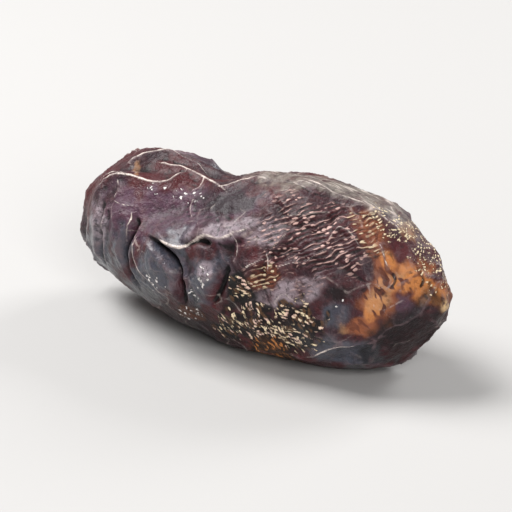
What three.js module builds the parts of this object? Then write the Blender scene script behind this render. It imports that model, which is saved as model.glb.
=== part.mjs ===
// A piarom date: one dried fruit that lies on its belly, its stem end at -X and its tip at +X.
// Millimetres, +Z up, with the origin under the middle of the fruit on the surface that it rests on.
import * as THREE from "three";
import { mergeVertices } from "three/addons/utils/BufferGeometryUtils.js";

// Size of the smooth fruit before its folds
const halfLength = 24;
const halfWidth = 9.4;
const halfHeight = 9.5; // the flat spot lies this far below the middle
const endLean = 1.6; // how far both ends bend towards +Y
const stemBluntness = 2.8; // 2 gives an elliptical end, more gives a blunter one
const tipBluntness = 2.4;
// Height of the back and depth of the belly, at even steps from the stem end to the tip
const backHeights = [9.5, 9.9, 8.9, 7.6, 9.3, 10.4, 10.9, 11.9, 10.9];
const bellyDepths = [9.2, 9.1, 8.9, 9.7, 9.9, 10.1, 10.8, 11.4, 9.0];

// Faces along and around the fruit
const facesAlong = 48;
const facesAcross = 22;
const foldRounding = 1.3; // no fold is sharper than the faces can show
const stepsPerPoint = 6; // how finely a fold's smooth line is laid from one drawn point to the next
const endFade = 0.2; // a fold fades over this share of its length at each end
const leastAtEnds = 0.2; // share of a fold's height that is left at its very ends
const sideBlend = 0.7; // how gently a raised edge turns from its left flank to its right one

// Folds are calmed where the fruit's weight presses on them, up to this height over the flat spot
const calmHeight = 2;
const calming = 0.8;

// The large folds are drawn as the fruit is seen from the front and right, and a little above.
// Their points are millimetres to the right of and above its middle in that view.
const viewTurn = THREE.MathUtils.degToRad(40);
const viewRise = THREE.MathUtils.degToRad(21);

// Raised edges: each falls away over one flank on the left of its path and over another on its right
const crests = [
  { height: 0.85, left: 1.0, right: 1.8, path: [[-18.6, 4.3], [-18.2, 6.5], [-17.1, 8.2], [-16.2, 8.9],
    [-15.2, 9.1], [-13.9, 9.0], [-12.6, 8.6], [-11.1, 8.2], [-9.6, 8.2], [-8.5, 8.8], [-7.7, 9.4]] },
  { height: 0.8, left: 1.0, right: 1.2, path: [[-13.5, 10.5], [-11.5, 10.8], [-10.2, 10.2], [-8.7, 9.7],
    [-7.7, 9.4], [-6.6, 8.8], [-5.3, 8.2], [-3.8, 7.5]] },
  { height: 0.7, left: 1.2, right: 1.4, path: [[-3.3, 7.6], [-2.0, 8.1], [0.5, 8.7], [2.5, 8.8]] },
  { height: 1.1, left: 2.6, right: 1.0, path: [[-11.8, 2.6], [-10.2, 1.7], [-8.2, 0.9], [-7.0, 1.7],
    [-5.5, 2.9], [-3.6, 3.3], [-2.1, 3.5], [-0.2, 4.0]] },
  { height: 0.6, left: 1.4, right: 0.9, path: [[-12.7, 2.2], [-13.2, 0.5], [-12.5, -1.3], [-10.7, -3.2],
    [-9.6, -4.5]] },
  { height: 0.5, left: 0.9, right: 0.9, path: [[-1.2, -1.4], [1.0, -0.2], [2.4, 1.4], [3.7, 2.7]] },
  { height: 0.5, left: 0.9, right: 0.9, path: [[7.1, 1.2], [8.8, 3.1], [10.4, 2.0], [11.1, 0.7]] },
  { height: 0.55, left: 0.9, right: 0.9, path: [[4.4, -10.9], [7.1, -10.0], [8.9, -9.3], [11.0, -9.2]] },
  { height: 0.55, left: 1.6, right: 0.9, path: [[4.6, 8.2], [6.9, 7.2], [10.8, 5.8], [14.1, 3.8],
    [16.6, 1.7]] },
];

// Creases pressed in between the folds, with rounded lips: the width is half way from the middle to a lip
const creases = [
  { depth: 1.2, width: 0.8, path: [[-9.6, 11.2], [-7.2, 10.2], [-5.3, 9.2], [-3.6, 8.3]] },
  { depth: 0.7, width: 0.8, path: [[-7.2, 1.0], [-6.4, 1.6], [-5.3, 2.1], [-4.0, 2.1]] },
  { depth: 1.2, width: 0.8, path: [[-11.0, 2.1], [-9.6, 1.0], [-8.2, -0.8], [-7.6, -2.8], [-7.3, -5.1]] },
  { depth: 1.0, width: 0.8, path: [[-12.8, 4.2], [-12.9, 3.0], [-13.6, 1.9], [-14.1, 0.4], [-13.7, -1.5],
    [-12.5, -3.4]] },
  { depth: 0.7, width: 0.8, path: [[-16.4, 6.0], [-16.6, 4.1], [-16.9, 1.6], [-16.5, -1.1]] },
  { depth: 0.8, width: 0.8, path: [[-2.5, -0.8], [-3.0, -2.1], [-3.5, -3.4], [-4.2, -4.9]] },
];
const lipShare = 0.3; // height of a crease's lips, as a share of its depth

// Soft lobes, and hollows where the height is below zero
const lobes = [
  { height: 0.9, reach: 1.8, path: [[-11.7, 1.1], [-10.7, -1.1], [-9.2, -3.4]] },
  { height: 0.8, reach: 1.9, path: [[-5.3, -0.2], [-5.3, -3.2]] },
  { height: 0.6, reach: 1.3, path: [[-15.2, 4.6], [-15.6, 0.8]] },
  { height: 0.4, reach: 1.0, path: [[-17.6, 4.0], [-17.8, 0.6]] },
  { height: -0.6, reach: 2.0, path: [[-10.6, 5.0], [-6.2, 4.6]] },
  { height: -0.5, reach: 1.0, path: [[-12.0, 9.6], [-9.6, 9.2]] },
  { height: 0.7, reach: 3.0, path: [[2.0, 7.6], [6.0, 7.0]] },
  { height: 0.5, reach: 2.5, path: [[7.0, -7.5], [11.0, -7.0]] },
];

// Folds of the sides that this view hides: the edges of a bent net of long cells, which noise over the
// skin turns from furrows into ridges
const net = {
  cells: 70, shake: 1.8, stretch: 2, flank: 1.3, height: 1.2, depth: 0.9,
  bend: 1.7, bendSize: 4.5, bendDraw: 17.3,
  moodLength: 9, moodGirth: 6, furrowsBelow: 0.34, ridgesAbove: 0.6,
};
// Share of the net's height that is left where the drawn folds show, on the stem half and the tip half, and
// where along the fruit the one turns into the other
const netOnStemHalf = 0.15;
const netOnTipHalf = 0.35;
const stemHalfEnd = -4;
const tipHalfStart = 2;
// The drawn folds reach a little way round the fruit's outline in the view: the cosine between the skin's
// direction and the view where the net has its full height, and where the drawn folds have theirs
const hiddenBelow = -0.4;
const drawnAbove = 0.1;
const noiseShift = 3.7; // moves the noise clear of its even spot at the fruit's middle

// Round pit where the fruit hung from its stalk, and the small nib on the tip
const stemPit = { radius: 2.1, depth: 1.0, rimHeight: 0.55, rimWidth: 1.0, rimRadius: 3.1 };
const tipNib = { height: 0.9, radius: 1.2 };

const toViewer = new THREE.Vector3(
  Math.sin(viewTurn) * Math.cos(viewRise), -Math.cos(viewTurn) * Math.cos(viewRise), Math.sin(viewRise));
const viewRight = new THREE.Vector3(Math.cos(viewTurn), Math.sin(viewTurn), 0);
const viewUp = new THREE.Vector3().crossVectors(toViewer, viewRight);
const halfSizes = new THREE.Vector3(halfLength, halfWidth, halfHeight);
const { smoothstep, clamp, lerp } = THREE.MathUtils;

// A smooth curve through heights at even steps, read from its start, 0, to its end, 1
function profile(heights) {
  const points = heights.map((height, i) => new THREE.Vector3(i, height, 0));
  return new THREE.CatmullRomCurve3(points, false, "catmullrom", 0.5);
}
const back = profile(backHeights);
const belly = profile(bellyDepths);

// Place on the smooth fruit for a direction of the unit sphere
function onSkin(direction) {
  const along = direction.x;
  const bluntness = along < 0 ? stemBluntness : tipBluntness;
  const girth = Math.sqrt(Math.max(1 - Math.abs(along) ** bluntness, 0));
  const round = Math.max(Math.hypot(direction.y, direction.z), 1e-9);
  const reach = (direction.z > 0 ? back : belly).getPoint(clamp((along + 1) / 2, 0, 1)).y;
  return new THREE.Vector3(
    halfLength * along,
    halfWidth * girth * direction.y / round + endLean * along ** 2,
    reach * girth * direction.z / round);
}

// The direction in which the folds rise from the skin
function outward(direction) {
  return direction.clone().divide(halfSizes).normalize();
}

// Place on the skin that shows at a point of the view once it rises by this much: the point is carried back
// to an ellipsoid of the fruit's size, and moved until the risen skin shows at the point
function seenAt([right, up], rise) {
  const aim = new THREE.Vector2(right, up);
  let place;
  for (let turn = 0; turn < 12; turn++) {
    const flat = viewRight.clone().multiplyScalar(aim.x).addScaledVector(viewUp, aim.y).divide(halfSizes);
    const sight = toViewer.clone().divide(halfSizes);
    const a = sight.lengthSq();
    const b = flat.dot(sight);
    const nearer = (-b + Math.sqrt(Math.max(b * b - a * (flat.lengthSq() - 1), 0))) / a;
    const direction = flat.addScaledVector(sight, nearer).normalize();
    place = onSkin(direction);
    const risen = outward(direction).multiplyScalar(rise).add(place);
    aim.x += 0.8 * (right - risen.dot(viewRight));
    aim.y += 0.8 * (up - risen.dot(viewUp));
  }
  return place;
}

// Each fold's path, laid on the skin as a smooth line
function layOnSkin(fold) {
  const rise = Math.max(fold.height ?? 0, 0);
  const places = fold.path.map((point) => seenAt(point, rise));
  const curve = new THREE.CatmullRomCurve3(places, false, "catmullrom", 0.5);
  return { ...fold, line: curve.getPoints(stepsPerPoint * (places.length - 1)) };
}
const laidCrests = crests.map(layOnSkin);
const laidCreases = creases.map(layOnSkin);
const laidLobes = lobes.map(layOnSkin);

// Distance from a place to a line, rounded off on the line itself, the side of the line that it lies on, from
// 1 on the left to -1 on the right, and a share that falls at the line's two ends
const stretch = new THREE.Line3();
const nearest = new THREE.Vector3();
const left = new THREE.Vector3();
function nearLine(place, normal, line) {
  let distance = Infinity;
  let along = 0;
  let side = 0;
  for (let i = 0; i + 1 < line.length; i++) {
    stretch.set(line[i], line[i + 1]);
    const share = stretch.closestPointToPointParameter(place, true);
    const gap = stretch.at(share, nearest).distanceTo(place);
    if (gap < distance) {
      distance = gap;
      along = (i + share) / (line.length - 1);
      stretch.delta(left).cross(normal).negate().normalize();
      side = left.dot(place.clone().sub(nearest)) / Math.max(gap, 1e-6);
    }
  }
  return {
    distance: Math.hypot(distance, foldRounding) - foldRounding,
    side,
    ends: clamp(Math.min(along, 1 - along) / endFade + leastAtEnds, 0, 1),
  };
}

// A repeatable random number from 0 to 1 for three whole numbers
function chance(i, j, k) {
  const value = Math.sin(i * 127.1 + j * 311.7 + k * 74.7) * 43758.5453;
  return value - Math.floor(value);
}

// Smooth random height from 0 to 1 over space, with one chance at each corner of a unit grid
function softNoise(x, y, z) {
  const cell = [x, y, z].map(Math.floor);
  const [u, v, w] = [x - cell[0], y - cell[1], z - cell[2]].map((t) => t ** 3 * (t * (6 * t - 15) + 10));
  let sum = 0;
  for (let corner = 0; corner < 8; corner++) {
    const [i, j, k] = [corner >> 2, (corner >> 1) & 1, corner & 1];
    const weight = (i ? u : 1 - u) * (j ? v : 1 - v) * (k ? w : 1 - w);
    sum += weight * chance(cell[0] + i, cell[1] + j, cell[2] + k);
  }
  return sum;
}

// Middles of the net's cells, spread evenly over the skin by a spiral and shaken a little
function netMiddles() {
  const middles = [];
  for (let i = 0.5; i < net.cells; i++) {
    const along = 1 - 2 * i / net.cells;
    const turn = i * Math.PI * (1 + Math.sqrt(5));
    const round = Math.sqrt(1 - along * along);
    const direction = new THREE.Vector3(along, round * Math.cos(turn), round * Math.sin(turn));
    const shake = new THREE.Vector3(chance(i, 6, 0), chance(i, 7, 0), chance(i, 8, 0)).subScalar(0.5);
    direction.addScaledVector(shake, net.shake / Math.sqrt(net.cells)).normalize();
    middles.push(onSkin(direction));
  }
  return middles;
}
const middles = netMiddles();

// How much nearer a place is to its own cell of the net than to the next one, both bent by noise
function netGap(place) {
  const bent = [1, 2, 3].map((k) => {
    const apart = net.bendDraw * k;
    const [x, y, z] = [place.x, place.y, place.z].map((along) => along / net.bendSize + apart);
    return 2 * net.bend * (softNoise(x, y, z) - 0.5);
  });
  let first = Infinity;
  let second = Infinity;
  for (const middle of middles) {
    const lengthwise = (place.x + bent[0] - middle.x) / net.stretch;
    const gap = Math.hypot(lengthwise, place.y + bent[1] - middle.y, place.z + bent[2] - middle.z);
    if (gap < first) {
      second = first;
      first = gap;
    } else if (gap < second) {
      second = gap;
    }
  }
  return Math.hypot(second - first, foldRounding) - foldRounding;
}

// Height of the skin over the smooth fruit
function relief(place, normal) {
  let ridge = 0;
  for (const { height, left: leftFlank, right: rightFlank, line } of laidCrests) {
    const { distance, side, ends } = nearLine(place, normal, line);
    const flank = lerp(rightFlank, leftFlank, smoothstep(side, -sideBlend, sideBlend));
    ridge += (height * ends * Math.exp(-distance / flank)) ** 4;
  }
  let height = ridge ** 0.25;
  for (const { depth, width, line } of laidCreases) {
    const { distance, ends } = nearLine(place, normal, line);
    const lip = Math.exp(-(((distance - 2 * width) / width) ** 2));
    height -= depth * ends * (Math.exp(-distance / width) - lipShare * lip);
  }
  for (const { height: rise, reach, line } of laidLobes) {
    height += rise * Math.exp(-((nearLine(place, normal, line).distance / reach) ** 2));
  }
  const drawn = smoothstep(normal.dot(toViewer), hiddenBelow, drawnAbove);
  const leftThere = lerp(netOnStemHalf, netOnTipHalf, smoothstep(place.x, stemHalfEnd, tipHalfStart));
  const share = lerp(1, leftThere, drawn);
  const [x, y, z] = [place.x / net.moodLength, place.y / net.moodGirth, place.z / net.moodGirth];
  const mood = softNoise(x + noiseShift, y + noiseShift, z + noiseShift);
  const rise = lerp(-net.depth, net.height, smoothstep(mood, net.furrowsBelow, net.ridgesAbove));
  return height + share * rise * Math.exp(-netGap(place) / net.flank);
}

// The stem pit with its rim, and the nib on the tip
function endRelief(place) {
  const fromAxis = Math.hypot(place.y - endLean, place.z);
  if (place.x > 0) {
    return tipNib.height * Math.exp(-((fromAxis / tipNib.radius) ** 2));
  }
  const rim = stemPit.rimHeight * Math.exp(-(((fromAxis - stemPit.rimRadius) / stemPit.rimWidth) ** 2));
  return rim - stemPit.depth * Math.exp(-((fromAxis / stemPit.radius) ** 4));
}

// A cube's even grid pushed out to the unit sphere, without crowding at poles
function sphereDirection({ x, y, z }) {
  const [a, b, c] = [x * x, y * y, z * z];
  return new THREE.Vector3(
    x * Math.sqrt(1 - b / 2 - c / 2 + b * c / 3),
    y * Math.sqrt(1 - c / 2 - a / 2 + c * a / 3),
    z * Math.sqrt(1 - a / 2 - b / 2 + a * b / 3));
}

function dateGeometry() {
  const cube = new THREE.BoxGeometry(2, 2, 2, facesAlong, facesAcross, facesAcross);
  cube.deleteAttribute("normal");
  cube.deleteAttribute("uv");
  const geometry = mergeVertices(cube);
  const corners = geometry.getAttribute("position");
  for (let i = 0; i < corners.count; i++) {
    const direction = sphereDirection(new THREE.Vector3().fromBufferAttribute(corners, i));
    const place = onSkin(direction);
    const normal = outward(direction);
    const calm = 1 - calming * smoothstep(-place.z, halfHeight - calmHeight, halfHeight);
    place.addScaledVector(normal, calm * relief(place, normal) + endRelief(place));
    place.z = Math.max(place.z, -halfHeight);
    corners.setXYZ(i, place.x, place.y, place.z);
  }
  geometry.computeBoundingBox();
  const box = geometry.boundingBox;
  geometry.translate(-(box.min.x + box.max.x) / 2, -(box.min.y + box.max.y) / 2, -box.min.z);
  geometry.computeVertexNormals();
  return geometry;
}

const driedSkin = new THREE.MeshStandardMaterial({ color: 0x3a2a2e, roughness: 0.4, metalness: 0 });
const date = new THREE.Mesh(dateGeometry(), driedSkin);
date.name = "date";

const model = new THREE.Group();
model.add(date);

export default model;
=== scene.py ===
import bpy
import numpy as np
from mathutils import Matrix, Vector


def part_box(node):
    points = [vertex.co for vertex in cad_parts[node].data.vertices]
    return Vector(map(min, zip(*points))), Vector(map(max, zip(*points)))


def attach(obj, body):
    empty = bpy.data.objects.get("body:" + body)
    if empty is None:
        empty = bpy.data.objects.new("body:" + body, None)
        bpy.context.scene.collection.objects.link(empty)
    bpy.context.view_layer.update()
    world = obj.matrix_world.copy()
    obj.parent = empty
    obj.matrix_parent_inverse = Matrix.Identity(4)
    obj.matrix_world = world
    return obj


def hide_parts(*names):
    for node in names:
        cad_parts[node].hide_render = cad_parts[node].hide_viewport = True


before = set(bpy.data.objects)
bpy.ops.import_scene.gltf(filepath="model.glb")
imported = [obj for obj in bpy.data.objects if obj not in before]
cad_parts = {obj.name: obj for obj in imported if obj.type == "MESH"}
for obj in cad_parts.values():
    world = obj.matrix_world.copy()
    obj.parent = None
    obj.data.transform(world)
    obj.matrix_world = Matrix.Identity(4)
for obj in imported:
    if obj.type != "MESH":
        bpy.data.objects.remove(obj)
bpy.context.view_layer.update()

# The smooth fruit, with the height of its back and depth of its belly at even steps from stem to tip
fruit = {
    "halfLength": 24.0, "halfWidth": 9.4, "halfHeight": 9.5, "endLean": 1.6,
    "stemBluntness": 2.8, "tipBluntness": 2.4,
    "backHeights": [9.5, 9.9, 8.9, 7.6, 9.3, 10.4, 10.9, 11.9, 10.9],
    "bellyDepths": [9.2, 9.1, 8.9, 9.7, 9.9, 10.1, 10.8, 11.4, 9.0],
    "gridAlong": 208, "gridAcross": 96,
}

# Folds are drawn as the fruit is seen from this side, in degrees: mm to the right of and above its middle.
# Skin shows once its normal leans to the viewer by more than the first cosine, and in full at the second
seenFrom = {"turn": 40.0, "rise": 21.0, "shown": (-0.4, 0.1)}

folds = {
    # raised edges: height, flank on the left of the path, flank on its right, and the path
    "crests": [
        (0.90, 0.8, 1.8, [(-18.6, 4.3), (-18.2, 6.5), (-17.1, 8.2), (-16.2, 8.9), (-15.2, 9.1), (-13.9, 9.0),
                          (-12.6, 8.6), (-11.1, 8.2), (-9.6, 8.2), (-8.5, 8.8), (-7.6, 9.5), (-6.9, 10.1)]),
        (0.45, 0.5, 0.5, [(-17.6, 7.2), (-17.0, 8.8), (-16.0, 9.4), (-15.0, 9.3), (-14.2, 8.9)]),
        (0.85, 0.8, 1.1, [(-11.5, 11.2), (-10.2, 10.6), (-8.7, 10.1), (-7.7, 9.8), (-6.6, 9.2), (-5.3, 8.5),
                          (-3.8, 7.6), (-3.0, 7.2)]),
        (1.00, 0.8, 0.9, [(-15.4, 9.7), (-13.4, 11.0), (-11.7, 11.6), (-9.8, 11.7), (-8.1, 11.2),
                          (-6.2, 10.2), (-4.8, 9.4)]),
        (0.45, 0.6, 0.5, [(-18.5, 3.6), (-18.6, 1.2), (-18.3, -1.0)]),
        (0.40, 0.5, 0.4, [(5.1, -0.7), (6.5, 0.2), (8.0, 1.0)]),
        (0.35, 0.5, 0.4, [(2.0, -1.3), (3.7, -0.8), (5.2, -0.6)]),
        (0.70, 1.2, 1.4, [(-4.2, 7.3), (-3.2, 7.6), (-2.0, 8.1), (0.5, 8.7), (2.5, 8.8)]),
        (0.50, 0.5, 0.7, [(-5.4, 8.4), (-5.9, 7.6), (-7.1, 7.0)]),
        (1.20, 2.6, 0.5, [(-11.8, 2.6), (-10.2, 1.7), (-8.2, 0.9), (-7.0, 1.6), (-5.5, 2.2), (-3.8, 1.9),
                          (-2.1, 2.6), (-0.2, 3.7)]),
        (0.60, 1.4, 0.4, [(-12.7, 2.2), (-13.2, 0.5), (-12.5, -1.3), (-10.7, -3.2), (-9.6, -4.5)]),
        (0.45, 0.4, 0.5, [(-15.0, 8.6), (-15.0, 7.2), (-15.6, 6.2)]),
        (0.25, 0.4, 1.0, [(-13.3, 5.2), (-13.5, 3.7), (-14.1, 2.2), (-14.4, 0.9)]),
        (0.25, 0.4, 0.5, [(-15.6, 6.2), (-14.5, 5.6), (-13.2, 5.4)]),
        (0.40, 0.4, 0.8, [(-16.8, 5.8), (-16.6, 4.1), (-16.8, 2.6)]),
        (0.45, 0.5, 0.4, [(-6.4, 6.5), (-7.2, 5.4), (-6.9, 4.1)]),
        (0.35, 0.6, 0.4, [(-2.1, 2.4), (-1.8, 0.7), (-2.2, -1.1)]),
        (0.50, 0.6, 0.3, [(-1.2, -1.4), (-0.2, -0.8), (1.0, -0.2)]),
        (0.50, 0.6, 0.3, [(1.4, 0.5), (2.4, 1.4), (3.7, 2.7)]),
        (0.40, 0.3, 0.4, [(1.1, 0.5), (1.3, -0.6), (1.2, -1.9)]),
        (0.35, 0.4, 0.4, [(3.3, 4.2), (4.4, 4.2), (5.5, 4.2)]),
        (0.45, 0.5, 0.4, [(5.2, 4.2), (8.2, 4.6)]),
        (0.45, 0.4, 0.4, [(7.1, 1.2), (8.0, 2.1), (8.8, 3.1), (9.6, 2.8), (10.4, 2.0), (11.1, 0.7)]),
        (0.35, 0.4, 0.3, [(2.0, 6.4), (2.9, 5.7), (3.5, 5.0)]),
        (0.35, 0.5, 0.4, [(13.0, 1.7), (13.5, 0.2), (14.1, -1.9)]),
        (0.55, 0.7, 0.9, [(4.4, -10.9), (7.1, -10.0), (8.9, -9.3), (11.0, -9.2)]),
        (0.55, 1.6, 0.6, [(4.6, 8.2), (6.9, 7.2), (10.8, 5.8), (14.1, 3.8), (16.6, 1.7)]),
    ],
    # creases pressed in between folds: depth, half width and path
    "creases": [
        (1.3, 0.50, [(-9.6, 11.2), (-7.2, 10.2), (-5.3, 9.2), (-3.6, 8.3)]),
        (0.9, 0.35, [(-7.2, 0.9), (-6.4, 1.3), (-5.3, 1.6), (-4.0, 1.2)]),
        (1.5, 0.38, [(-11.0, 2.1), (-9.6, 1.0), (-8.2, -0.8), (-7.6, -2.8), (-7.3, -5.1)]),
        (1.3, 0.40, [(-12.8, 4.2), (-12.9, 3.0), (-13.6, 1.9), (-14.1, 0.4), (-13.7, -1.5), (-12.5, -3.4)]),
        (0.8, 0.35, [(-16.4, 6.0), (-16.6, 4.1), (-16.9, 1.6), (-16.5, -1.1)]),
        (0.9, 0.40, [(-2.5, -0.8), (-3.0, -2.1), (-3.5, -3.4), (-4.2, -4.9)]),
        (0.25, 0.16, [(14.5, -1.8), (14.7, -2.6), (14.3, -3.4)]),
        (0.25, 0.16, [(17.2, -1.8), (17.7, -2.6), (17.3, -3.4)]),
    ],
    # soft lobes, and hollows where the height is below zero: height, reach and path
    "lobes": [
        (0.9, 1.8, [(-11.7, 1.1), (-10.7, -1.1), (-9.2, -3.4)]),
        (0.8, 1.9, [(-5.3, -0.2), (-5.3, -3.2)]),
        (0.6, 1.3, [(-15.2, 4.6), (-15.6, 0.8)]),
        (0.4, 1.0, [(-17.6, 4.0), (-17.8, 0.6)]),
        (-0.6, 2.0, [(-10.6, 5.0), (-6.2, 4.6)]),
        (-0.5, 1.0, [(-12.0, 9.6), (-9.6, 9.2)]),
        (0.7, 3.0, [(2.0, 7.6), (6.0, 7.0)]),
        (0.5, 2.5, [(7.0, -7.5), (11.0, -7.0)]),
    ],
    # sizes of rounded edges, and how far each kind reaches, in flanks, half widths and reaches
    "rounding": 0.12, "creaseRounding": 0.08, "sideBlend": 0.7,
    "crestReach": 5, "creaseReach": 8, "lobeReach": 3,
    # how fast folds rise from the ends of their paths, and the share of the height that is left there
    "endRise": 5, "crestEnd": 0.2, "creaseEnd": 0.1,
    # the lip beside a crease: its place and half width in half widths, and its share of the depth
    "lipPlace": 2.2, "lipWidth": 1.3, "lipHeight": 0.3,
    # the height of a crest whose line has full width, and how far the line thins at its ends, in mm
    "lineHeight": 0.6, "lineThinning": 0.12,
}

# Bent nets of long cells: the large one folds the hidden sides, the small ones wrinkle the whole skin.
# A net's mood is slow noise that turns its edges from furrows, below its middle, into ridges
nets = {
    "large": {"cells": 70, "draw": 5, "stretch": 2.0, "bend": 1.7, "bendSize": 4.5, "flank": 1.3,
              "height": 1.3, "depth": 1.0, "moodSizes": (9, 6, 6), "moodDraw": 3.7, "ridged": (0.34, 0.6),
              "shake": 1.8, "tipHalf": (-4, 2), "spared": 0.85, "sparedLess": 0.2},
    "small": {"cells": 260, "draw": 11, "stretch": 1.8, "bend": 0.9, "bendSize": 2.5, "flank": 0.6,
              "shake": 1.8, "height": 0.2, "hiddenHeight": 0.45, "moodSizes": (5, 3, 3), "moodDraw": 9.1,
              "moodMiddle": 0.3},
    "fine": {"cells": 900, "draw": 23, "stretch": 1.6, "bend": 0.5, "bendSize": 1.4, "flank": 0.25,
             "shake": 1.8, "height": 0.2, "moodSizes": (3, 2, 2), "moodDraw": 5.3, "moodMiddle": 0.25},
}

# Crinkle over the whole skin, in mm. The coarse one is fainter where the skin isn't busy with marks
crinkles = {
    "coarse": {"height": 0.12, "moodSizes": (2.4, 1.3, 1.3), "moodDraw": 4.4, "sharpness": 3},
    "fine": {"height": 0.05, "moodSizes": (0.9, 0.55, 0.55), "moodDraw": 8.8, "sharpness": 2},
    "calm": 0.5,
}

# The distances that the nets' pale lines follow, in mm per mm of gap, with what is added where the net is
# faint, where it is a furrow, and where noise ends the line or thread
netLines = {
    "perGap": 0.9, "hiddenAt": (0.6, 0.3), "hiddenFade": 0.5, "furrowFade": 0.4,
    "gapSize": 2.5, "gapDraw": 1.3, "gone": (0.55, 0.4), "goneFade": 0.4,
    "threadPerGap": 0.5, "threadGone": (0.6, 0.35), "threadFade": 0.4,
}

# The pit where the fruit hung from its stalk, and the nib on the tip. Their tints end in these ranges, in mm
ends = {
    "pitRadius": 2.1, "pitDepth": 1.0, "rimHeight": 0.55, "rimWidth": 1.0, "rimRadius": 3.1,
    "nibHeight": 0.9, "nibRadius": 1.2, "stalkTint": (1.4, 2.6), "nibTint": (0.3, 0.7),
}

# Tinted zones as they are seen from the same side: middle, half sizes and tilt in degrees
zones = {
    "amber": [((16.6, -2.9), (3.6, 2.1), -10), ((12.1, 2.0), (1.6, 3.1), 25), ((13.7, -1.0), (1.4, 2.2), 25),
              ((12.9, -5.0), (2.2, 3.0), -33), ((11.2, -7.4), (2.4, 1.5), 20),
              ((18.8, -4.0), (2.6, 1.6), -15), ((-7.0, -6.2), (1.6, 0.6), -20),
              ((1.6, -9.6), (3.0, 1.4), -15), ((0.7, -2.5), (2.0, 1.2), 20)],
    "orange": [((16.3, -2.8), (3.2, 1.8), -10), ((12.4, -5.8), (1.1, 1.9), -33),
               ((19.0, -4.2), (1.4, 1.0), -10), ((13.9, -0.6), (0.8, 1.2), 25),
               ((1.8, -9.9), (2.4, 1.0), -15)],
    # Honey: a paler amber, partly a painted highlight within the amber
    "honey": [((13.0, -4.5), (1.3, 2.2), -33), ((9.3, -7.9), (0.7, 0.9), 0),
              ((16.2, 2.5), (1.3, 0.9), -40), ((15.0, -2.2), (1.4, 0.7), 0), ((-13.0, 9.6), (0.5, 1.2), 0)],
    # The cream band along the top ridge: partly dusty skin, partly a painted sheen
    "cream": [((11.6, 6.9), (6.2, 1.5), -33), ((3.3, 8.2), (4.2, 1.3), -6), ((7.7, 7.6), (3.8, 1.2), -20)],
    # A whitish waxy bloom, partly a painted sheen on facets that face the light
    "bloomAndSheen": [((3.7, -3.8), (4.0, 1.6), 12), ((-3.2, 2.9), (3.8, 0.9), 12), ((1.6, 2.4), (2.0, 1.2), 30),
              ((-5.3, -1.8), (1.0, 1.5), 0), ((-17.2, 3.6), (0.8, 2.4), 0)],
    "flecks": [((5.8, 1.8), (4.8, 4.4), 0), ((10.2, 1.2), (3.0, 3.2), -20), ((0.9, -2.3), (2.2, 1.4), 20)],
    "crumbs": [((-0.4, -7.4), (3.6, 2.0), -12), ((2.0, -9.4), (3.6, 1.5), -12),
               ((0.4, -5.5), (1.6, 0.7), -10)],
    "grains": [((5.0, -7.6), (3.0, 2.4), -10), ((-1.6, -3.6), (1.6, 1.6), 0)],
    "dots": [((18.4, 0.2), (1.9, 3.8), 22), ((14.6, 2.9), (2.6, 1.4), -40)],
    # White glints: painted highlights on the lobes and facets
    "paintedGlints": [((-10.7, 7.5), (1.2, 0.7), -10), ((-7.2, 6.5), (2.0, 0.8), -12),
               ((-10.9, -2.9), (1.5, 0.8), -38), ((-5.7, -2.6), (1.5, 1.7), 0),
               ((-7.2, -6.2), (1.5, 0.7), -20), ((8.6, -4.6), (0.9, 0.9), 0)],
    "blue": [((-10.6, -1.8), (2.6, 4.8), -32), ((-5.4, -2.4), (2.6, 2.6), 0), ((9.5, -10.0), (4.8, 1.8), -14),
             ((-17.4, 0.0), (1.6, 4.2), 0), ((-14.6, 0.6), (1.4, 2.2), 0), ((8.6, -6.4), (2.0, 1.8), 0)],
    "violet": [((-8.0, 4.6), (6.5, 2.8), -8), ((-14.5, 4.5), (2.8, 4.0), 0),
               ((15.6, -4.8), (2.8, 1.6), 0), ((-2.6, 5.6), (3.6, 1.7), 5)],
    # Painted shade: darker patches low on the sides, in hollows and on the middle of the top
    "shade": [((-1.8, -4.2), (2.4, 2.4), 0), ((-6.0, -8.5), (9.0, 2.4), -28), ((16.4, -8.2), (5.4, 3.2), 30),
              ((8.9, -3.9), (1.8, 1.2), 0), ((-2.6, 5.8), (3.2, 1.3), 5)],
}

# How the zones' edges fade, in shares of their size, and the sway of them: height, size in mm and draw
zoneEdges = {"fade": (0.6, 1.25), "sways": [(0.9, 1.9, 2.2), (0.5, 0.7, 6.2)]}

# The same tints on the sides that the view hides: noise size in mm, and where it starts and is full
hidden = {
    "amber": (8.0, 0.62, 0.86), "orange": (8.0, 0.76, 0.92), "honey": (5.0, 0.74, 0.9),
    "cream": (6.0, 0.62, 0.86), "bloomAndSheen": (5.5, 0.55, 0.78), "flecks": (7.0, 0.6, 0.85),
    "crumbs": (8.0, 0.78, 0.92), "grains": (4.0, 0.84, 0.96), "dots": (4.5, 0.66, 0.86),
    # The white glints are painted highlights and the shade is painted shade, here in random patches
    "paintedGlints": (3.0, 0.68, 0.8), "blue": (6.5, 0.48, 0.68), "violet": (9.0, 0.42, 0.6),
    "shade": (7.5, 0.56, 0.75),
}

# The skin's level base: how thick a layer over it keeps its folds low, in mm, and by what share. Rounds of
# averaging that show the fine edges and the large swells, and the widest distances kept, in mm
finishing = {"calmDepth": 2, "calmShare": 0.8, "edgeRounds": 8, "swellRounds": 80, "widestLine": 2.0}

# Longer than any distance on the skin, in mm
farAway = 1e3


def viewDirections():
    # Unit vectors to the viewer, to the right and up in the view that the folds are drawn in
    turn, rise = np.radians(seenFrom["turn"]), np.radians(seenFrom["rise"])
    toViewer = np.array([np.sin(turn) * np.cos(rise), -np.cos(turn) * np.cos(rise), np.sin(rise)])
    right = np.array([np.cos(turn), np.sin(turn), 0.0])
    return toViewer, right, np.cross(toViewer, right)


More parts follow.
